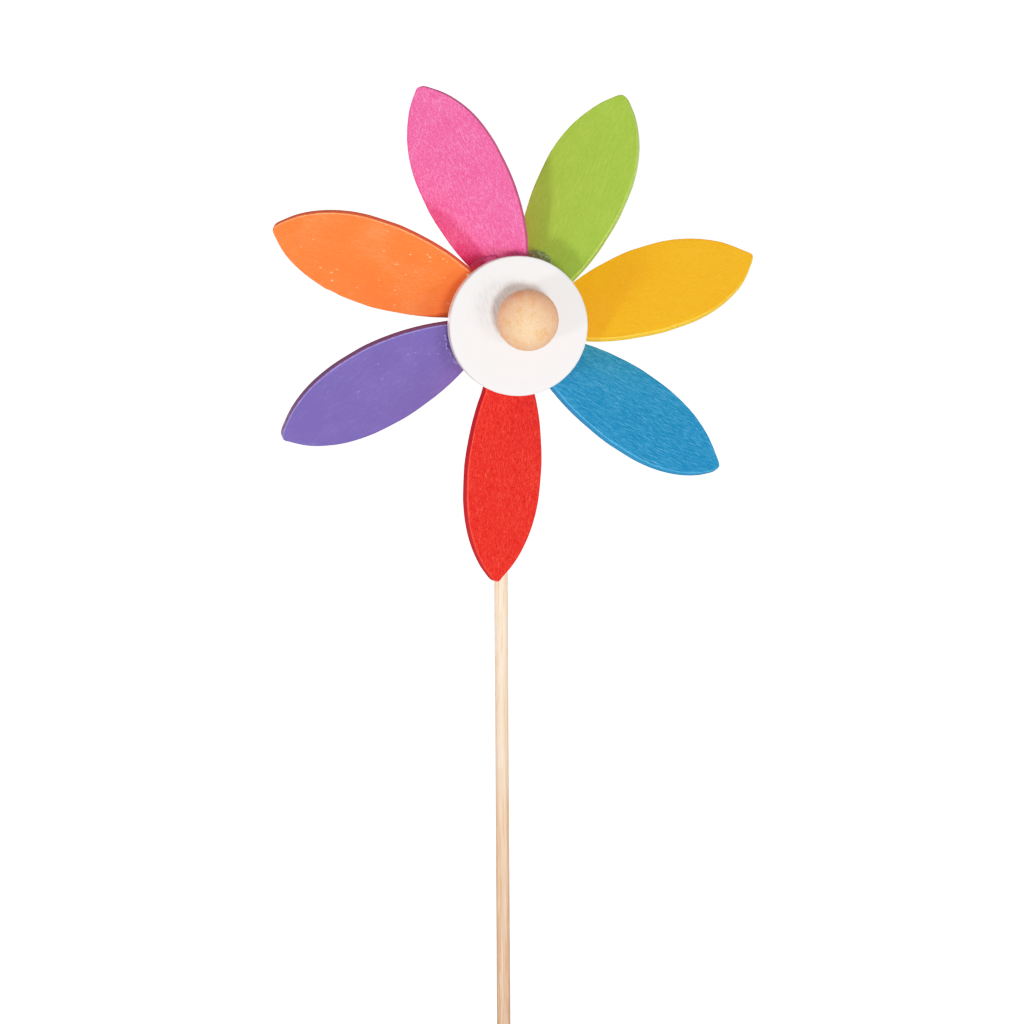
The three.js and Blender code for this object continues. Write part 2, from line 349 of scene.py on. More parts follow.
# ------------------------------------------------------------------ petal paint
# grain: fibre direction as the camera sees it, degrees up from its horizontal
# streak, fine, mottle, speck: how much each noise, from long to small, changes the tone
# stretch, coarse: the fibres' scale along the grain, and their frequency across it
# wave: sideways bend of the grain, mm
# wear, wear_at: how light the open fibres are, and the noise range where they open
# flecks, fleck_zone: strength of light flecks, and the noise range that picks where they lie
# corner_wear_and_highlight: how light the rounded corner is, partly worn paint and partly a
# painted highlight; spots: strength of dark round spots
# painted_root_shade: a darker patch painted round one place of the petal as shade, its radii in
# mm
PAINT = {
    "red": dict(
        base=srgb(241, 33, 17), light=srgb(255, 92, 70), dark=srgb(196, 12, 8),
        side=srgb(196, 18, 27), grain=91, streak=0.10, fine=0.32, mottle=0.04, speck=0.44,
        stretch=0.20, coarse=1.35, wear=0.45, flecks=0.3, corner_wear_and_highlight=0.55),
    "purple": dict(
        base=srgb(112, 95, 166), light=srgb(170, 156, 216), dark=srgb(94, 74, 150),
        side=srgb(122, 78, 118), grain=32, streak=0.02, fine=0.04, mottle=0.05, speck=0.06,
        wear=0.05, flecks=0.55, fleck_zone=(0.57, 0.68), corner_wear_and_highlight=0.8),
    "orange": dict(
        base=srgb(255, 119, 47), light=srgb(255, 205, 160), dark=srgb(250, 98, 26),
        side=srgb(238, 104, 60), grain=-12, streak=0.02, fine=0.04, mottle=0.05, speck=0.06,
        wear=0.05, flecks=0.8, fleck_zone=(0.50, 0.60), corner_wear_and_highlight=0.6),
    "pink": dict(
        base=srgb(237, 91, 153), light=srgb(255, 165, 204), dark=srgb(210, 50, 116),
        side=srgb(216, 92, 146), grain=-68, streak=0.08, fine=0.21, mottle=0.06, speck=0.30,
        stretch=0.26, coarse=1.3, wear=0.25, flecks=0.12, corner_wear_and_highlight=0.25, spots=0.5,
        # painted shade: a darker patch near the root, where this petal lies in shadow beside the
        # hub
        painted_root_shade=dict(x=12.5, y=15.5, radii=(4.0, 13.0), strength=0.85, colour=srgb(190, 20, 112))),
    "green": dict(
        base=srgb(158, 187, 65), light=srgb(196, 218, 116), dark=srgb(130, 162, 42),
        side=srgb(168, 196, 92), grain=66, streak=0.045, fine=0.10, mottle=0.05, speck=0.08,
        stretch=0.12, coarse=1.5, wear=0.1, corner_wear_and_highlight=0.5),
    "yellow": dict(
        base=srgb(255, 178, 17), light=srgb(255, 204, 84), dark=srgb(255, 149, 2),
        side=srgb(252, 196, 56), grain=-7, streak=0.09, fine=0.20, mottle=0.03, speck=0.06,
        stretch=0.24, coarse=1.5, wave=3.0, wear=0.05, corner_wear_and_highlight=0.6),
    "blue": dict(
        base=srgb(16, 143, 194), light=srgb(112, 188, 222), dark=srgb(0, 112, 166),
        side=srgb(40, 140, 188), grain=-27, streak=0.13, fine=0.34, mottle=0.04, speck=0.18,
        stretch=0.06, coarse=2.4, wear=0.8, wear_at=(0.55, 0.72), corner_wear_and_highlight=0.5),
}


def grain_turn(grain, axes):
    """The seen grain direction (degrees) as an angle in the petal's own plane (radians)."""
    seen = math.radians(grain)
    view = np.array([CAM_RIGHT, CAM_UP]) @ axes[:2].T
    x, y = np.linalg.solve(view, [math.cos(seen), math.sin(seen)])
    return math.atan2(y, x)


def paint(name, axes, seed, base, light, dark, side, grain, streak, fine, mottle, speck, wear,
          corner_wear_and_highlight, stretch=0.13, coarse=1.15, wave=0.0, wear_at=(0.56, 0.70), flecks=0.0,
          fleck_zone=(0.55, 0.68), spots=0.0, painted_root_shade=None):
    """Painted plywood, from the petal's point attributes.

    'loc' is the petal's own mm: x along it, y across, z through. 'edge' is 1 on the sawn
    side, 'arris' is 1 on the rounded corner.
    """
    mat = Material(name)
    loc = mat.attribute("loc", "Vector")
    offset = (seed * 37.0, seed * 11.0, seed * 5.0)

    def moved(*extra):
        return mat.vector_math("ADD", loc, tuple(a + b for a, b in zip(offset, extra)))

    aligned = mat.mapping(loc, shift=offset, turn=(0, 0, -grain_turn(grain, axes)))
    if wave:
        bend = mat.noise(aligned, stretch=(0.16, 0.16, 0.16))
        aligned = mat.shift_along(aligned, "Y", mat.swing(bend, wave))
    fibres = mat.noise(aligned, scale=coarse, detail=4, rough=0.62, distort=0.15,
                       stretch=(stretch, 1.0, 1.0))
    fine_fibres = mat.noise(aligned, scale=coarse * 2.1, detail=3, rough=0.6, distort=0.1,
                            shift=(5.0, 3.0, 0), stretch=(stretch * 1.1, 1.0, 1.0))
    clouds = mat.noise(moved(0, 0, 0), scale=0.075, detail=3)
    specks = mat.noise(moved(0, 0, 0), scale=1.9, detail=3, rough=0.65)
    level = 1.0
    for noise, amount in ((fibres, streak), (fine_fibres, fine), (clouds, mottle),
                          (specks, speck)):
        level = mat.plus(level, mat.swing(noise, amount * 4))
    # dark tones gain saturation, light ones pale a little
    colour = mat.mix(mat.remap(level, span=(0.62, 1.0)), dark, base)
    colour = mat.mix(mat.remap(level, span=(1.0, 1.5), to=(0, 0.8)), colour, light)
    # open fibres, where the paint is thin
    thin = mat.times(mat.remap(fine_fibres, span=wear_at),
                     mat.remap(fibres, span=(0.40, 0.62), to=(0.25, 1)))
    colour = mat.mix(mat.times(thin, wear), colour, light)
    if flecks:
        cells = mat.voronoi(mat.mapping(aligned, stretch=(0.45, 1.0, 1.0)), scale=0.55)
        zone = mat.noise(moved(9, 0, 0), scale=0.11, detail=1)
        fleck = mat.times(mat.remap(cells, span=(0.07, 0.17), to=(1, 0)),
                          mat.remap(zone, span=fleck_zone))
        colour = mat.mix(mat.times(fleck, flecks), colour, light)
    if spots:
        spread = mat.mapping(loc, shift=(offset[1], offset[0], 0), stretch=(0.8, 1.0, 1.0))
        spot = mat.remap(mat.voronoi(spread, scale=0.085), span=(0.04, 0.085), to=(1, 0))
        colour = mat.mix(mat.times(spot, spots), colour, dark)
    # painted shade: darken round one place of the petal, standing in for a shadow there
    if painted_root_shade:
        away = mat.vector_math("SUBTRACT", loc, (painted_root_shade["x"], painted_root_shade["y"], 0.0))
        flat = mat.vector_math("MULTIPLY", away, (1.0, 1.0, 0.0))
        near = mat.remap(mat.vector_math("LENGTH", flat), span=painted_root_shade["radii"], to=(1, 0))
        colour = mat.mix(mat.times(near, painted_root_shade["strength"]), colour, painted_root_shade["colour"])
    # sawn edge: plies show through, ends of the fibres take up more paint
    depth = mat.plus(mat.split(loc)["Z"], mat.swing(clouds, 0.25))
    ply = mat.math("ABSOLUTE", mat.math("SUBTRACT", mat.math("ABSOLUTE", depth), 0.5))
    ply = mat.remap(ply, span=(0.0, 0.16), to=(0.78, 1.0))
    ends = mat.noise(loc, scale=2.2, detail=4, rough=0.65, shift=offset, stretch=(1, 1, 0.5))
    ends = mat.remap(ends, span=(0.25, 0.75), to=(0.8, 1.18), clamp=False)
    edge = mat.attribute("edge")
    colour = mat.mix(edge, colour, mat.gain(side, mat.times(ply, ends)))
    # lighter rounded corner: partly worn paint, partly a painted highlight along the arris
    wear_and_highlight = mat.noise(moved(0, 3, -offset[2]), scale=0.55, detail=4, rough=0.6)
    wear_and_highlight = mat.remap(wear_and_highlight, span=(0.38, 0.62), to=(corner_wear_and_highlight * 0.35, corner_wear_and_highlight))
    colour = mat.mix(mat.times(mat.attribute("arris"), wear_and_highlight), colour, light)
    height = mat.plus(mat.times(fibres, 0.6),
                      mat.plus(mat.times(fine_fibres, 0.6), mat.times(specks, 0.35)))
    rough = mat.plus(mat.remap(fibres, span=(0.3, 0.7), to=(0.45, 0.56)), mat.times(edge, 0.15))
    return mat.finish(Base_Color=colour, Roughness=rough, Specular_IOR_Level=0.3,
                      Normal=mat.bump(height, strength=0.5, depth_mm=0.07))


# ------------------------------------------------------------------ petals
LENGTH_STEPS, WIDTH_STEPS = 132, 20
ARRIS, ARRIS_STEPS = 0.58, 7  # radius of the rounded corner, mm, and its segments
TIP_CROWDING = 1.9  # power that draws the stations together towards the tip
TIP_START = 0.984  # the CAD outline is used up to this share of the length
EDGE_UNEVEN = FACE_UNEVEN = 0.03  # hand-sanded unevenness, mm
FACE_DROP, CORNER_DROP = 0.035, 0.03  # how far face and corner lie inside the CAD face, mm
SIDE_BULGE = 0.02  # swelling of the sawn side, mm


def petal_frame(colour):
    """Root on the middle line, axes (along, across, through) and CAD points in them, in mm."""
    points = cad_points("petal_" + colour)
    origin = points.mean(0)
    _, _, directions = np.linalg.svd(points - origin, full_matrices=False)
    along, through = directions[0], directions[2]
    if np.dot(origin - HUB, along) < 0:
        along = -along
    if np.dot(through, AXIS) < 0:
        through = -through
    axes = np.array([along, np.cross(through, along), through])
    local = (points - origin) @ axes.T
    middle = (local.max(0) + local.min(0)) / 2
    origin = origin + np.array([local[:, 0].min(), middle[1], middle[2]]) @ axes
    return origin, axes, (points - origin) @ axes.T


def petal_outline(local, half_thick, index):
    """Root x, stations from it, and per hand (+1, -1 in y) half width and outward normal."""
    side = local[np.abs(local[:, 2]) < half_thick - 0.25]
    rims = {}
    for hand in (1, -1):
        half = side[hand * side[:, 1] > 0.01]
        xs = np.unique(np.round(half[:, 0], 2))
        widths = [(hand * half[np.abs(half[:, 0] - x) < 0.02, 1]).max() for x in xs]
        rims[hand] = xs, np.array(widths)
    root = min(xs[0] for xs, _ in rims.values())
    length = side[:, 0].max() - root
    share = np.linspace(0, 1, LENGTH_STEPS + 1)
    stations = length * (1 - (1 - share) ** TIP_CROWDING)
    lump = wobble(900 + index, 7, 2, 11)
    outline = {}
    for hand, (xs, widths) in rims.items():
        xs = xs - root
        keep = xs < TIP_START * length
        knots = np.append(xs[keep], length)
        knots[0] = 0.0
        squares = np.append(widths[keep], 0.0) ** 2
        width = np.sqrt(np.maximum(pchip(knots, squares, stations), 0))
        fade = np.minimum(1, (length - stations) / 6)
        width = width + EDGE_UNEVEN * lump(hand * share * TURN / 2) * fade
        width[-1] = 0
        run, rise = np.gradient(stations), np.gradient(width)
        size = np.hypot(run, rise)
        normal_x, normal_y = -rise / size, run / size
        normal_x[-1], normal_y[-1] = 1.0, 0.0
        outline[hand] = width, normal_x, normal_y
    return root, stations, outline


def petal(colour, index):
    """A lens-shaped ply plate with rounded arrises."""
    origin, axes, local = petal_frame(colour)
    half_thick = local[:, 2].max()
    root, stations, outline = petal_outline(local, half_thick, index)
    origin = origin + axes[0] * root
    uneven = field(40 + index, 9, shortest=14, longest=46)
    points = []  # x, y, z, edge, arris

    def add(*point):
        points.append(point)
        return len(points) - 1

    def inset_at(i, hand):
        return min(ARRIS, outline[hand][0][i] * 0.9) if i < LENGTH_STEPS else ARRIS

    def rim_point(i, hand, inset):
        width, normal_x, normal_y = outline[hand]
        return (stations[i] - normal_x[i] * inset,
                hand * max(width[i] - normal_y[i] * inset, 0))

    def face_grid(face):
        """Rows of point numbers over one face; the last row is the single tip point."""
        grid = []
        for i in range(LENGTH_STEPS + 1):
            xa, ya = rim_point(i, -1, inset_at(i, -1))
            xb, yb = rim_point(i, 1, inset_at(i, 1))
            row = []
            for j in range(WIDTH_STEPS + 1 if i < LENGTH_STEPS else 1):
                x = xa + (xb - xa) * j / WIDTH_STEPS
                y = ya + (yb - ya) * j / WIDTH_STEPS
                crown = half_thick - FACE_DROP + FACE_UNEVEN * uneven(x + 100 * face, y)
                row.append(add(x, y, face * crown, 0, 0))
            grid.append(row)
        return grid

    def rim_line(i, hand):
        """Round one corner, down the sawn side and round the other corner."""
        inset = inset_at(i, hand)
        corner = []
        for k in range(1, ARRIS_STEPS + 1):
            share = k / ARRIS_STEPS
            angle = math.pi / 2 * share
            x, y = rim_point(i, hand, inset * (1 - math.sin(angle)))
            z = half_thick - CORNER_DROP - ARRIS * (1 - math.cos(angle))
            edge = max(0.0, (share - 0.45) / 0.55)
            corner.append((x, y, z, edge, math.exp(-(((share - 0.40) / 0.19) ** 2))))
        x, y = rim_point(i, hand, -SIDE_BULGE if i < LENGTH_STEPS else 0)
        third = (half_thick - CORNER_DROP - ARRIS) / 3
        middle = [(x, y, third, 1, 0), (x, y, -third, 1, 0)]
        return corner + middle + [(x, y, -z, *rest) for x, y, z, *rest in corner[::-1]]

    top, bottom = face_grid(1), face_grid(-1)
    rims = {}
    for hand in (-1, 1):
        rims[hand] = [[add(*p) for p in rim_line(i, hand)] for i in range(LENGTH_STEPS)]
        if hand < 0:
            tip = [add(*p) for p in rim_line(LENGTH_STEPS, hand)]
        rims[hand].append(tip)

    faces = []
    for grid in (top, bottom):
        for here, ahead in zip(grid[:-2], grid[1:-1]):
            for j in range(WIDTH_STEPS):
                faces.append((here[j], ahead[j], ahead[j + 1], here[j + 1]))
        for j in range(WIDTH_STEPS):
            faces.append((grid[-2][j], grid[-1][0], grid[-2][j + 1]))
    for hand, end in ((-1, 0), (1, -1)):
        lines = [[above[end]] + rim + [below[end]]
                 for above, rim, below in zip(top, rims[hand], bottom)]
        for here, ahead in zip(lines[:-1], lines[1:]):
            for k in range(len(here) - 1):
                faces.append((here[k], ahead[k], ahead[k + 1], here[k + 1]))
    # root end
    faces.append(tuple(top[0] + rims[1][0] + bottom[0][::-1] + rims[-1][0][::-1]))

    points = np.array(points)
    loc = points[:, :3]
    ob = to_mesh("petal_" + colour + "_shell", origin + loc @ axes, faces,
                 {"loc": loc, "edge": points[:, 3], "arris": points[:, 4]})
    stand_in(ob, "rotor", "petal_" + colour)
    ob.data.materials.append(paint("paint_" + colour, axes, seed=index + 1, **PAINT[colour]))


# ------------------------------------------------------------------ glue round the hub, and a strip of painted shade
# each strip is a list of (x, y, half width, height) in the petal's own mm
GLUE_AND_SHADE_STRIPS = {
    "purple": dict(body=srgb(118, 100, 176), pale=srgb(158, 142, 208), rough=0.22, strips=[
        [(11.3, -7.2, 0.5, 0.35), (11.6, -5.8, 0.7, 0.5), (11.9, -4.2, 0.5, 0.4)],
        [(12.0, -3.4, 0.7, 0.45), (12.9, -2.4, 0.5, 0.6), (13.1, -1.2, 0.6, 0.6),
         (12.4, -0.2, 0.8, 0.5)],
        [(12.6, 1.0, 0.5, 0.35), (13.0, 2.2, 0.6, 0.45), (13.2, 3.0, 0.45, 0.35)],
        [(12.9, 4.2, 0.4, 0.3), (12.8, 5.6, 0.7, 0.45), (12.4, 7.0, 0.8, 0.4),
         (11.8, 8.0, 0.5, 0.3)],
        [(14.1, -5.2, 0.45, 0.25), (14.3, -4.0, 0.35, 0.2)],
    ]),
    "green": dict(body=srgb(116, 142, 66), pale=srgb(176, 192, 140), rough=0.30, strips=[
        [(12.7, 8.4, 1.5, 0.5), (13.7, 6.3, 2.1, 0.9), (14.1, 3.8, 2.2, 1.0),
         (13.7, 1.2, 1.9, 0.9), (12.8, -1.4, 1.3, 0.5)],
    ]),
    # pink: a glue fillet darkened to stand in for the shade where the pink petal meets the disc
    # edge; painted shade
    "pink": dict(body=srgb(200, 44, 118), pale=srgb(214, 84, 144), rough=0.62, strips=[
        [(11.0, 14.0, 1.2, 0.5), (12.9, 10.8, 1.7, 0.8), (13.5, 7.6, 1.7, 0.9),
         (13.2, 3.6, 1.5, 0.8), (12.2, 0.0, 1.1, 0.5)],
    ]),
    "orange": dict(body=srgb(255, 196, 150), pale=srgb(255, 236, 220), rough=0.4, strips=[
        [(10.2, -8.9, 0.30, 0.15), (9.2, -8.5, 0.55, 0.25), (8.2, -8.2, 0.35, 0.15)],
    ]),
}
GLUE_STEP, GLUE_MIN_STEPS = 0.22, 14  # mm between sections, and the fewest steps
GLUE_POINTS = 11  # points over a section's half round
GLUE_SINK = 0.06  # depth of a strip's base below the CAD face, mm
GLUE_END = 0.9  # length of a rounded end, mm


def glue_and_shade_material(name, body, pale, rough):
    mat = Material(name)
    clouds = mat.noise(mat.object_mm(), scale=0.9, detail=3, rough=0.6, distort=0.3)
    colour = mat.mix(mat.remap(clouds, span=(0.42, 0.62), to=(0.0, 0.9)), body, pale)
    return mat.finish(Base_Color=colour, Roughness=rough, Specular_IOR_Level=0.7,
                      Normal=mat.bump(clouds, strength=0.7, depth_mm=0.25))


def glue_and_shade_strip(colour, strips, **look):
    """Low rounded strips on a petal's +z face: dried glue, and on the pink petal glue darkened
    as painted shade.
    """
    origin, axes, local = petal_frame(colour)
    base = local[:, 2].max() - GLUE_SINK
    verts, faces = [], []
    for number, strip in enumerate(strips):
        strip = np.array(strip, float)
        far = np.concatenate([[0], np.cumsum(np.hypot(*np.diff(strip[:, :2], axis=0).T))])
        steps = max(GLUE_MIN_STEPS, int(far[-1] / GLUE_STEP))
        place = np.linspace(0, far[-1], steps + 1)
        x, y, wide, high = (pchip(far, column, place) for column in strip.T)
        ahead_x, ahead_y = np.gradient(x), np.gradient(y)
        size = np.hypot(ahead_x, ahead_y)
        ahead_x, ahead_y = ahead_x / size, ahead_y / size
        bead = wobble(700 + 10 * number + len(colour), 5, 2, 9)
        end = np.minimum(1, np.minimum(place, far[-1] - place) / GLUE_END)
        end = np.sqrt(np.maximum(end * (2 - end), 0.0004))
        wide = wide * end * (1 + 0.22 * bead(place * 0.9))
        high = high * end * (1 + 0.35 * bead(place * 1.4 + 2.0))
        rows = []
        for i in range(steps + 1):
            rows.append(range(len(verts), len(verts) + GLUE_POINTS))
            for j in range(GLUE_POINTS):
                angle = math.pi * j / (GLUE_POINTS - 1)
                aside = math.cos(angle) * wide[i]
                point = (x[i] - ahead_y[i] * aside, y[i] + ahead_x[i] * aside,
                         base + math.sin(angle) * high[i])
                verts.append(origin + np.array(point) @ axes)
        for here, ahead in zip(rows[:-1], rows[1:]):
            for j in range(GLUE_POINTS - 1):
                faces.append((here[j], here[j + 1], ahead[j + 1], ahead[j]))
            faces.append((here[-1], here[0], ahead[0], ahead[-1]))
        faces += [tuple(rows[0]), tuple(rows[-1])]
    ob = to_mesh("glue_and_shade_" + colour, verts, faces)
    ob.data.materials.append(glue_and_shade_material("glue_and_shade_on_" + colour, **look))
    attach(ob, "rotor")


# ------------------------------------------------------------------ turned pieces
def lathe(name, origin, axis, profile, segments, shape):
    """Turn a profile of (radius, height) about an axis through origin.

    A profile that starts off the axis is closed on itself. shape(angles, radius, height)
    gives the change of radius.
    """
    spindle = Vector(axis).normalized()
    up = Vector((0, 0, 1)) if abs(spindle.z) < 0.9 else Vector((0, -1, 0))
    side = up.cross(spindle).normalized()
    other = np.array(spindle.cross(side))
    side, spindle = np.array(side), np.array(spindle)
    verts, faces, rows = [], [], []
    angles = np.arange(segments) * 2 * math.pi / segments
    for radius, height in profile:
        centre = np.array(origin) + spindle * height
        if radius < 1e-6:
            rows.append([len(verts)])
            verts.append(centre)
            continue
        rows.append(list(range(len(verts), len(verts) + segments)))
        for angle, reach in zip(angles, radius + shape(angles, radius, height)):
            verts.append(centre + side * (reach * math.cos(angle))
                         + other * (reach * math.sin(angle)))
    pairs = list(zip(rows[:-1], rows[1:]))
    if profile[0][0] > 1e-6:
        pairs.append((rows[-1], rows[0]))
    for here, ahead in pairs:
        for k in range(segments):
            after = (k + 1) % segments
            if len(here) == 1:
                faces.append((here[0], ahead[k], ahead[after]))
            elif len(ahead) == 1:
                faces.append((here[k], here[after], ahead[0]))
            else:
                faces.append((here[k], here[after], ahead[after], ahead[k]))
    return to_mesh(name, verts, faces)


def arc(radius, height, bend, start, end, steps):
    """Profile points round the centre (radius, height), angles in degrees."""
    angles = [math.radians(start + (end - start) * i / steps) for i in range(steps + 1)]
    return [(radius + bend * math.cos(a), height + bend * math.sin(a)) for a in angles]


# disc, mm
DISC_CORNER = 0.7
DISC_SWELL = 0.02  # how far the wall stands outside the CAD radius
DISC_WALL_INSETS = (2.2, 2.6)  # from the low and the high face to the wall's two stations
BORE_CHAMFER = 0.3


def white_paint():
    mat = Material("white_paint")
    place = mat.object_mm()
    grain = mat.noise(place, scale=1.5, detail=4, rough=0.6, distort=0.2, stretch=(1, 1, 0.10))
    fine = mat.noise(place, scale=4.2, detail=3, rough=0.55, stretch=(1.0, 1.0, 0.14))
    clouds = mat.noise(place, scale=0.08)
    specks = mat.noise(place, scale=1.1, detail=3, rough=0.6)
    level = mat.plus(1.0, mat.swing(grain, 0.045))
    level = mat.plus(level, mat.swing(specks, 0.03))
    # painted shadow of the ball on the disc, up and left of it, broken by raised fibres
    ball_shadow_centre = (-7.0, -44.0, HUB[2] + 6.0)
    away = mat.vector_math("LENGTH", mat.vector_math("SUBTRACT", place, ball_shadow_centre))
    hair = mat.noise(place, scale=1.5, detail=3, rough=0.6,
                     turn=(0, math.radians(24), 0), stretch=(1.0, 1.0, 0.22))
    shade = mat.times(mat.remap(away, span=(6.0, 15.0), to=(1.0, 0.0)),
                      mat.remap(hair, span=(0.44, 0.62), to=(0.0, 0.16)))
    level = mat.math("SUBTRACT", level, shade)
    tint = mat.mix(mat.remap(clouds, span=(0.35, 0.65)), srgb(233, 229, 227),
                   srgb(235, 229, 228))
    height = mat.plus(mat.times(grain, 0.8),
                      mat.plus(mat.times(fine, 0.6), mat.times(specks, 0.4)))
    return mat.finish(
        Base_Color=mat.gain(tint, level),
        Roughness=mat.remap(grain, span=(0.3, 0.7), to=(0.42, 0.52)),
        Specular_IOR_Level=0.4, Normal=mat.bump(height, strength=0.35, depth_mm=0.07))


def hub_disc():
    """Flat disc with rounded corners, a slightly uneven rim and a bore."""
    low, high, radius, bore = cad_extent("hub_disc", HUB, AXIS)
    wall = radius + DISC_SWELL
    profile = [(bore + BORE_CHAMFER, low)]
    profile += arc(radius - DISC_CORNER, low + DISC_CORNER, DISC_CORNER, -90, 0, 5)
    profile += [(wall, low + DISC_WALL_INSETS[0]), (wall, high - DISC_WALL_INSETS[1])]
    profile += arc(wall - DISC_CORNER, high - DISC_CORNER, DISC_CORNER, 0, 90, 9)
    for ring in np.linspace(radius - 2.6, bore + 0.6, 22):
        profile.append((ring, high + 0.02 * math.sin(ring * 0.9) - 0.03))
    profile += [(bore + BORE_CHAMFER, high - 0.02), (bore, high - 0.4),
                (bore, low + BORE_CHAMFER)]
    lump = wobble(5, 6, 2, 9)
    disc = lathe("hub_disc_body", HUB, AXIS, profile, 192,
                 lambda angles, ring, height: 0.05 * lump(angles) * (ring > 20))
    stand_in(disc, "rotor", "hub_disc")
    disc.data.materials.append(white_paint())


def ball_wood(name, centre, seed, squash):
    """Fine beech, lightly sanded: a close pale net of rays, warm blotches and fine specks."""
    mat = Material(name)
    place = mat.vector_math("SUBTRACT", mat.object_mm(), tuple(float(v) for v in centre))
    place = mat.mapping(place, shift=(seed * 9.0, seed * 5.0, seed * 2.0), stretch=squash)
    drift = mat.noise(place, scale=0.16)
    blotch = mat.noise(place, scale=0.26, detail=1, distort=0.2)
    speck = mat.noise(place, scale=1.9, detail=3, rough=0.6)
    push = mat.noise(place, scale=0.9, detail=1.0, output="Color")
    push = mat.vector_math("SUBTRACT", push, (0.5, 0.5, 0.5))
    warped = mat.vector_math("ADD", place, mat.vector_math("SCALE", push, scale=0.8))
    net = mat.voronoi(warped, scale=0.85, feature="DISTANCE_TO_EDGE")
    dots = mat.voronoi(place, scale=1.5)
    colour = mat.mix(mat.remap(drift, span=(0.3, 0.7)), srgb(244, 190, 152),
                     srgb(238, 182, 143))
    colour = mat.mix(mat.remap(blotch, span=(0.52, 0.66), to=(0, 0.55)), colour,
                     srgb(238, 166, 104))
    colour = mat.gain(colour, mat.plus(1.0, mat.swing(speck, 0.26)))
    colour = mat.mix(mat.remap(net, span=(0.02, 0.10), to=(0.5, 0.0)), colour,
                     srgb(248, 206, 174))
    colour = mat.mix(mat.remap(dots, span=(0.08, 0.20), to=(0.32, 0.0)), colour,
                     srgb(250, 212, 182))
    height = mat.plus(speck, mat.times(net, 0.4))
    return mat.finish(
        Base_Color=colour, Roughness=mat.remap(speck, span=(0.3, 0.7), to=(0.55, 0.66)),
        Specular_IOR_Level=0.22, Normal=mat.bump(height, strength=0.3, depth_mm=0.05))


# hole in the back of the nose ball: radius, depth from the sphere's pole, rim, all mm
HOLE_RADIUS, HOLE_DEPTH, HOLE_RIM = 1.62, 7.0, 0.35
HOLE_LIP = 1.6  # degrees of sphere between the hole and the first ring
BALL_STEPS = 56


def nose_ball():
    points = cad_points("nose_ball")
    low, high = points.min(0), points.max(0)
    centre = (low + high) / 2
    centre[1] = low[1] + (high[0] - low[0]) / 2
    radius = high[0]
    opening = math.asin(HOLE_RADIUS / radius)
    start = math.degrees(opening) + HOLE_LIP
    floor = HOLE_DEPTH - radius
    profile = [(0, floor), (HOLE_RADIUS - 0.05, floor),
               (HOLE_RADIUS, HOLE_RIM - radius * math.cos(opening))]
    sphere = arc(0, 0, radius, start - 90, 90, BALL_STEPS)
    profile += sphere[:-1] + [(0, sphere[-1][1])]
    lump = wobble(3, 5, 2, 6)

    def shape(angles, ring, height):
        return -0.035 * (1 + lump(angles + height * 0.11)) * (ring > HOLE_RADIUS + 0.5)

    nose = lathe("nose_ball_body", centre, FRONT, profile, 112, shape)
    stand_in(nose, "stand", "nose_ball")
    nose.data.materials.append(
        ball_wood("ball_end_grain", centre, seed=2, squash=(1.0, 0.5, 1.0)))


def stem_wood():
    """Bare dowel: long grain, darker and warmer towards the foot."""
    foot = (40, 190)  # heights in mm over which the foot's darkening fades
    mat = Material("stem_wood_mat")
    place = mat.object_mm()
    parts = mat.split(place)
    high = parts["Z"]
    drift = mat.noise(place, stretch=(0.05, 0.05, 0.03))
    swayed = mat.shift_along(place, "X", mat.swing(drift, 3.0))
    bands = mat.noise(swayed, scale=0.85, distort=0.5, shift=(3.1, 7.7, 0),
                      stretch=(1.0, 1.0, 0.012))
    fine = mat.noise(swayed, scale=3.4, detail=4, rough=0.62, stretch=(1, 1, 0.03))
    pale = mat.noise(swayed, scale=1.5, detail=3, rough=0.6, distort=0.2,
                     shift=(8.2, 1.4, 2.0), stretch=(1, 1, 0.02))
    line = mat.noise(swayed, scale=1.5, detail=3, rough=0.55, distort=0.3,
                     shift=(1.7, 0.4, 9.0), stretch=(1, 1, 0.022))
    colour = mat.mix(mat.remap(bands, span=(0.38, 0.62)), srgb(247, 215, 196),
                     srgb(238, 200, 164))
    colour = mat.mix(mat.remap(high, span=foot, to=(0.85, 0.0)), colour,
                     mat.mix(0.6, colour, srgb(210, 160, 114)))
    colour = mat.gain(colour, mat.remap(high, span=(40, 200), to=(0.71, 1.11)))
    # pale and dark streaks
    pale_colour = mat.mix(mat.remap(high, span=foot, to=(0.5, 0.0)), srgb(250, 224, 208),
                          srgb(226, 188, 160))
    colour = mat.mix(mat.times(mat.remap(pale, span=(0.50, 0.64)), 0.65), colour, pale_colour)
    dark = mat.times(mat.remap(line, span=(0.54, 0.66)),
                     mat.remap(high, span=(30, 150), to=(0.9, 0.45)))
    colour = mat.mix(dark, colour, srgb(204, 138, 78))
    colour = mat.gain(colour, mat.plus(1.0, mat.swing(fine, 0.46)))
    # the +X side is a little darker, and grazing parts are greyer: painted shade towards the
    # dowel's seen edges
    colour = mat.gain(colour, mat.remap(parts["X"], span=(0.9, 2.7), to=(1.0, 0.90)))
    grazing_shade = mat.node("LayerWeight")
    grazing_shade.inputs["Blend"].default_value = 0.5
    colour = mat.mix(mat.remap(grazing_shade.outputs["Facing"], span=(0.55, 0.95), to=(0.0, 0.7)),
                     colour, srgb(176, 154, 140))
    height = mat.plus(fine, mat.times(line, -0.6))
    return mat.finish(Base_Color=colour, Roughness=0.6, Specular_IOR_Level=0.25,
                      Normal=mat.bump(height, strength=0.4, depth_mm=0.06))


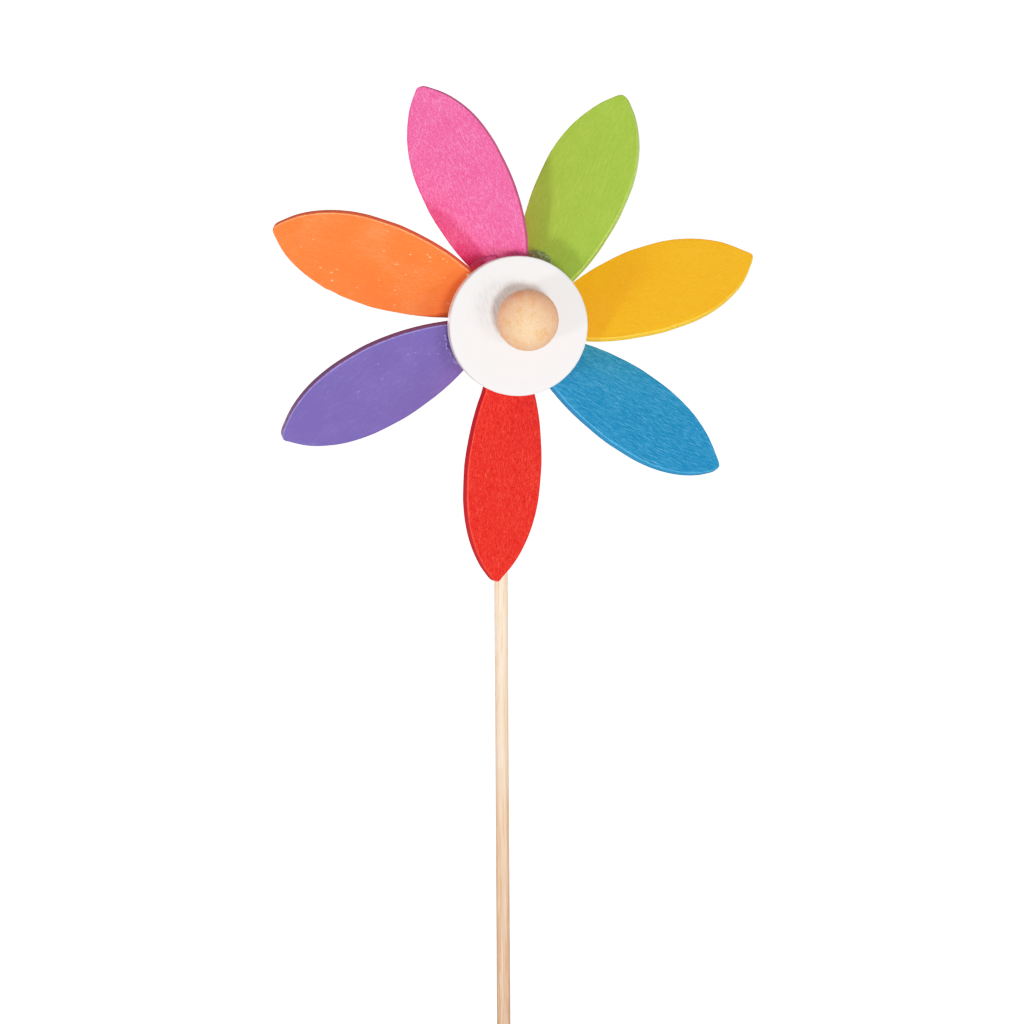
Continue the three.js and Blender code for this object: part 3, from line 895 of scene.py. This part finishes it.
def stem():
    """Upright dowel, not quite round and not quite straight-sided."""
    foot, top, radius, _ = cad_extent("stem", (0, 0, 0), UP)
    profile = [(0, foot), (radius - 0.6, foot)] + arc(radius - 0.5, foot + 0.5, 0.5, -75, 0, 4)
    profile += [(radius, height) for height in np.linspace(foot + 2, top - 1, 90)]
    profile += [(radius - 0.4, top), (0, top)]
    around, upward = wobble(21, 4, 2, 5), wobble(22, 5, 1, 7)

    def shape(angles, ring, height):
        swell = 0.035 * around(angles + height * 0.004) + 0.02 * upward(height * 0.03)
        return swell * (ring > 2.3)

    dowel = lathe("stem_dowel", (0, 0, 0), UP, profile, 64, shape)
    stand_in(dowel, "stand", "stem")
    dowel.data.materials.append(stem_wood())


# ------------------------------------------------------------------ looks of the CAD pieces
def beech(name, early, late, size, seed):
    """Bare diffuse-porous wood with its grain along Y."""
    mat = Material(name)
    place = mat.vector_math("SUBTRACT", mat.object_mm(), (0, 0, 0))
    # turned so that the grain runs along the texture's z
    place = mat.mapping(place, shift=(seed * 13.0, seed * 7.0, seed * 3.0),
                        turn=(math.radians(90), 0, 0))
    rings = mat.noise(mat.mapping(place, stretch=(1.0, 1.0, 0.055)), scale=0.42 / size,
                      detail=3, rough=0.55, distort=0.4)
    fibre = mat.noise(place, scale=3.2, detail=4, rough=0.6, stretch=(1.0, 1.0, 0.05))
    pores = mat.noise(place, scale=4.6, stretch=(1.0, 1.0, 0.18))
    tone = mat.noise(place, scale=0.06)
    colour = mat.mix(mat.remap(rings, span=(0.33, 0.68)), early, late)
    level = mat.plus(1.0, mat.swing(fibre, 0.42))
    level = mat.plus(level, mat.swing(tone, 0.16))
    level = mat.math("SUBTRACT", level, mat.times(mat.remap(pores, span=(0.6, 0.74)), 0.14))
    colour = mat.gain(colour, level)
    rays = mat.voronoi(mat.mapping(place, stretch=(1.0, 0.35, 0.22)), scale=1.35)
    colour = mat.mix(mat.times(mat.remap(rays, span=(0.06, 0.2), to=(1, 0)), 0.3), colour,
                     tuple(min(1, v * 1.16) for v in early))
    height = mat.plus(fibre, mat.times(pores, -0.8))
    return mat.finish(
        Base_Color=colour, Roughness=mat.remap(fibre, span=(0.3, 0.7), to=(0.45, 0.58)),
        Specular_IOR_Level=0.35, Normal=mat.bump(height, strength=0.35, depth_mm=0.05))


def pin_steel():
    """Bare steel with fine scratches along Y."""
    mat = Material("pin_steel_mat")
    scratch = mat.noise(mat.object_mm(), scale=9.0, detail=3, rough=0.6, stretch=(1, 0.02, 1))
    return mat.finish(
        Base_Color=(0.62, 0.63, 0.65), Metallic=1.0,
        Roughness=mat.remap(scratch, span=(0.3, 0.7), to=(0.22, 0.4)),
        Normal=mat.bump(scratch, strength=0.2, depth_mm=0.02))


# ------------------------------------------------------------------ stage, light and camera
TARGET = Vector((0.0, -0.035, 0.3))
LIGHT_DISTANCE = 2.6
LIGHT_GAIN = 1.22  # raises all lamps together
WHITE_GLOW = 1.32  # brightness of the backdrop as the camera sees it
FLOOR_HALF, FLOOR_GAP = 6, 0.0002  # half side, and drop below the foot
# name, degrees right and up of the camera's axis, diameter, share, behind the target;
# share is how bright the lamp makes a white card
LIGHTS = [
    ("key", 11, -17, 0.50, 0.40, False),
    ("right", 34, -21, 0.5, 0.16, False),
    ("left", -39, -26, 0.40, 0.25, False),
    ("back_left", -35, 4, 1.2, 0.40, True),
    ("back_right", 40, 4, 1.2, 0.30, True),
]
# scene brightness and the brightness shown for it
WHITE_LEVEL = 2.0
TONE = [(0.0, 0.0), (0.18, 0.18), (0.40, 0.40), (0.60, 0.605), (0.86, 0.82), (1.10, 0.925),
        (1.30, 1.0), (2.0, 1.0)]


def floor():
    """White ground that glows to the camera, brighter away from the foot."""
    mesh = bpy.data.meshes.new("floor")
    half = FLOOR_HALF
    corners = [(-half, -half, 0), (half, -half, 0), (half, half, 0), (-half, half, 0)]
    mesh.from_pydata(corners, [], [(0, 1, 2, 3)])
    ob = bpy.data.objects.new("floor", mesh)
    bpy.context.scene.collection.objects.link(ob)
    ob.location.z = cad_lo.z - FLOOR_GAP
    mat = Material("floor_white")
    seen = mat.node("LightPath").outputs["Is Camera Ray"]
    away = mat.vector_math("LENGTH", mat.object_mm())
    glow = mat.remap(away, span=(100, 190), to=(0.85, WHITE_GLOW))
    mesh.materials.append(mat.finish(
        Base_Color=(0.86, 0.86, 0.86), Roughness=0.9, Specular_IOR_Level=0.0,
        Emission_Color=(1, 1, 1), Emission_Strength=mat.times(seen, glow)))
    ob.visible_shadow = False


def studio_world():
    """White to the camera; a soft sky, brighter from above, to everything else."""
    world = bpy.data.worlds.new("studio")
    bpy.context.scene.world = world
    world.use_nodes = True
    shader = Shader(world.node_tree)
    height = shader.split(shader.node("TexCoord").outputs["Generated"])["Z"]
    sky = shader.remap(height, span=(-1.0, 1.0), to=(0.21, 0.54))
    mixer = shader.node("MixShader")
    shader.link(shader.node("LightPath").outputs["Is Camera Ray"], mixer.inputs[0])
    backgrounds = (((1.0, 0.995, 0.99), sky), ((1, 1, 1), WHITE_GLOW))
    for i, (colour, strength) in enumerate(backgrounds):
        background = shader.node("Background")
        shader.link(colour, background.inputs[0])
        shader.link(strength, background.inputs[1])
        shader.link(background.outputs[0], mixer.inputs[i + 1])
    shader.link(mixer.outputs[0], shader.node("OutputWorld").inputs[0])


def lamp(name, right, up, size, share, behind):
    """A distant soft disc light aimed at the target."""
    direction = Vector((math.tan(math.radians(right)), math.tan(math.radians(up)),
                        -1.0 if behind else 1.0))
    x, y, z = direction.normalized() * LIGHT_DISTANCE
    light = bpy.data.lights.new(name, "AREA")
    light.shape = "DISK"
    light.size = size
    light.energy = share * LIGHT_GAIN * math.pi ** 2 * LIGHT_DISTANCE ** 2
    ob = bpy.data.objects.new(name, light)
    bpy.context.scene.collection.objects.link(ob)
    place = TARGET + CAM_RIGHT * x + CAM_UP * y + CAM_BACK * z
    ob.location = place
    ob.rotation_mode = "QUATERNION"
    ob.rotation_quaternion = (TARGET - place).to_track_quat("-Z", "Y")
    ob.visible_camera = False


def camera():
    data = bpy.data.cameras.new("camera")
    ob = bpy.data.objects.new("camera", data)
    bpy.context.scene.collection.objects.link(ob)
    pose = Matrix((CAM_RIGHT, CAM_UP, CAM_BACK)).transposed().to_4x4()
    pose.translation = CAM_PLACE
    ob.matrix_world = pose
    data.sensor_width = 36.0
    data.lens = 98.2979
    data.clip_start, data.clip_end = 0.05, 50
    bpy.context.scene.camera = ob


def render_settings():
    """Plain view transform with a tone curve that rolls off the highlights."""
    scene = bpy.context.scene
    view = scene.view_settings
    view.view_transform = "Standard"
    view.look = "None"
    view.exposure = 0.0
    view.gamma = 1.0
    view.use_curve_mapping = True
    mapping = view.curve_mapping
    mapping.white_level = (WHITE_LEVEL,) * 3
    mapping.extend = "HORIZONTAL"
    combined = mapping.curves[3]
    while len(combined.points) < len(TONE):
        combined.points.new(0.5, 0.5)
    for point, (scene_level, shown) in zip(combined.points, TONE):
        point.location = (scene_level / WHITE_LEVEL, shown)
        point.handle_type = "AUTO_CLAMPED"
    mapping.update()
    scene.cycles.use_denoising = True
    scene.cycles.max_bounces = 8
    scene.cycles.diffuse_bounces = 4


# ------------------------------------------------------------------ build
for petal_colour, settings in GLUE_AND_SHADE_STRIPS.items():
    glue_and_shade_strip(petal_colour, **settings)
for petal_index, petal_colour in enumerate(PAINT):
    petal(petal_colour, petal_index)
hub_disc()
nose_ball()
dress("head_ball", ball_wood("ball_side_grain", (0.0, 0.0, HUB[2]), seed=5,
                             squash=(0.45, 1.0, 1.0)))
stem()
dress("hub_core", beech("core_wood_mat", early=srgb(240, 208, 168), late=srgb(220, 176, 128),
                        size=2.0, seed=8))
dress("spacer_bead", beech("bead_wood_mat", early=srgb(236, 196, 150),
                           late=srgb(206, 156, 106), size=1.0, seed=9))
dress("pin", pin_steel())
floor()
studio_world()
for row in LIGHTS:
    lamp(*row)
camera()
render_settings()
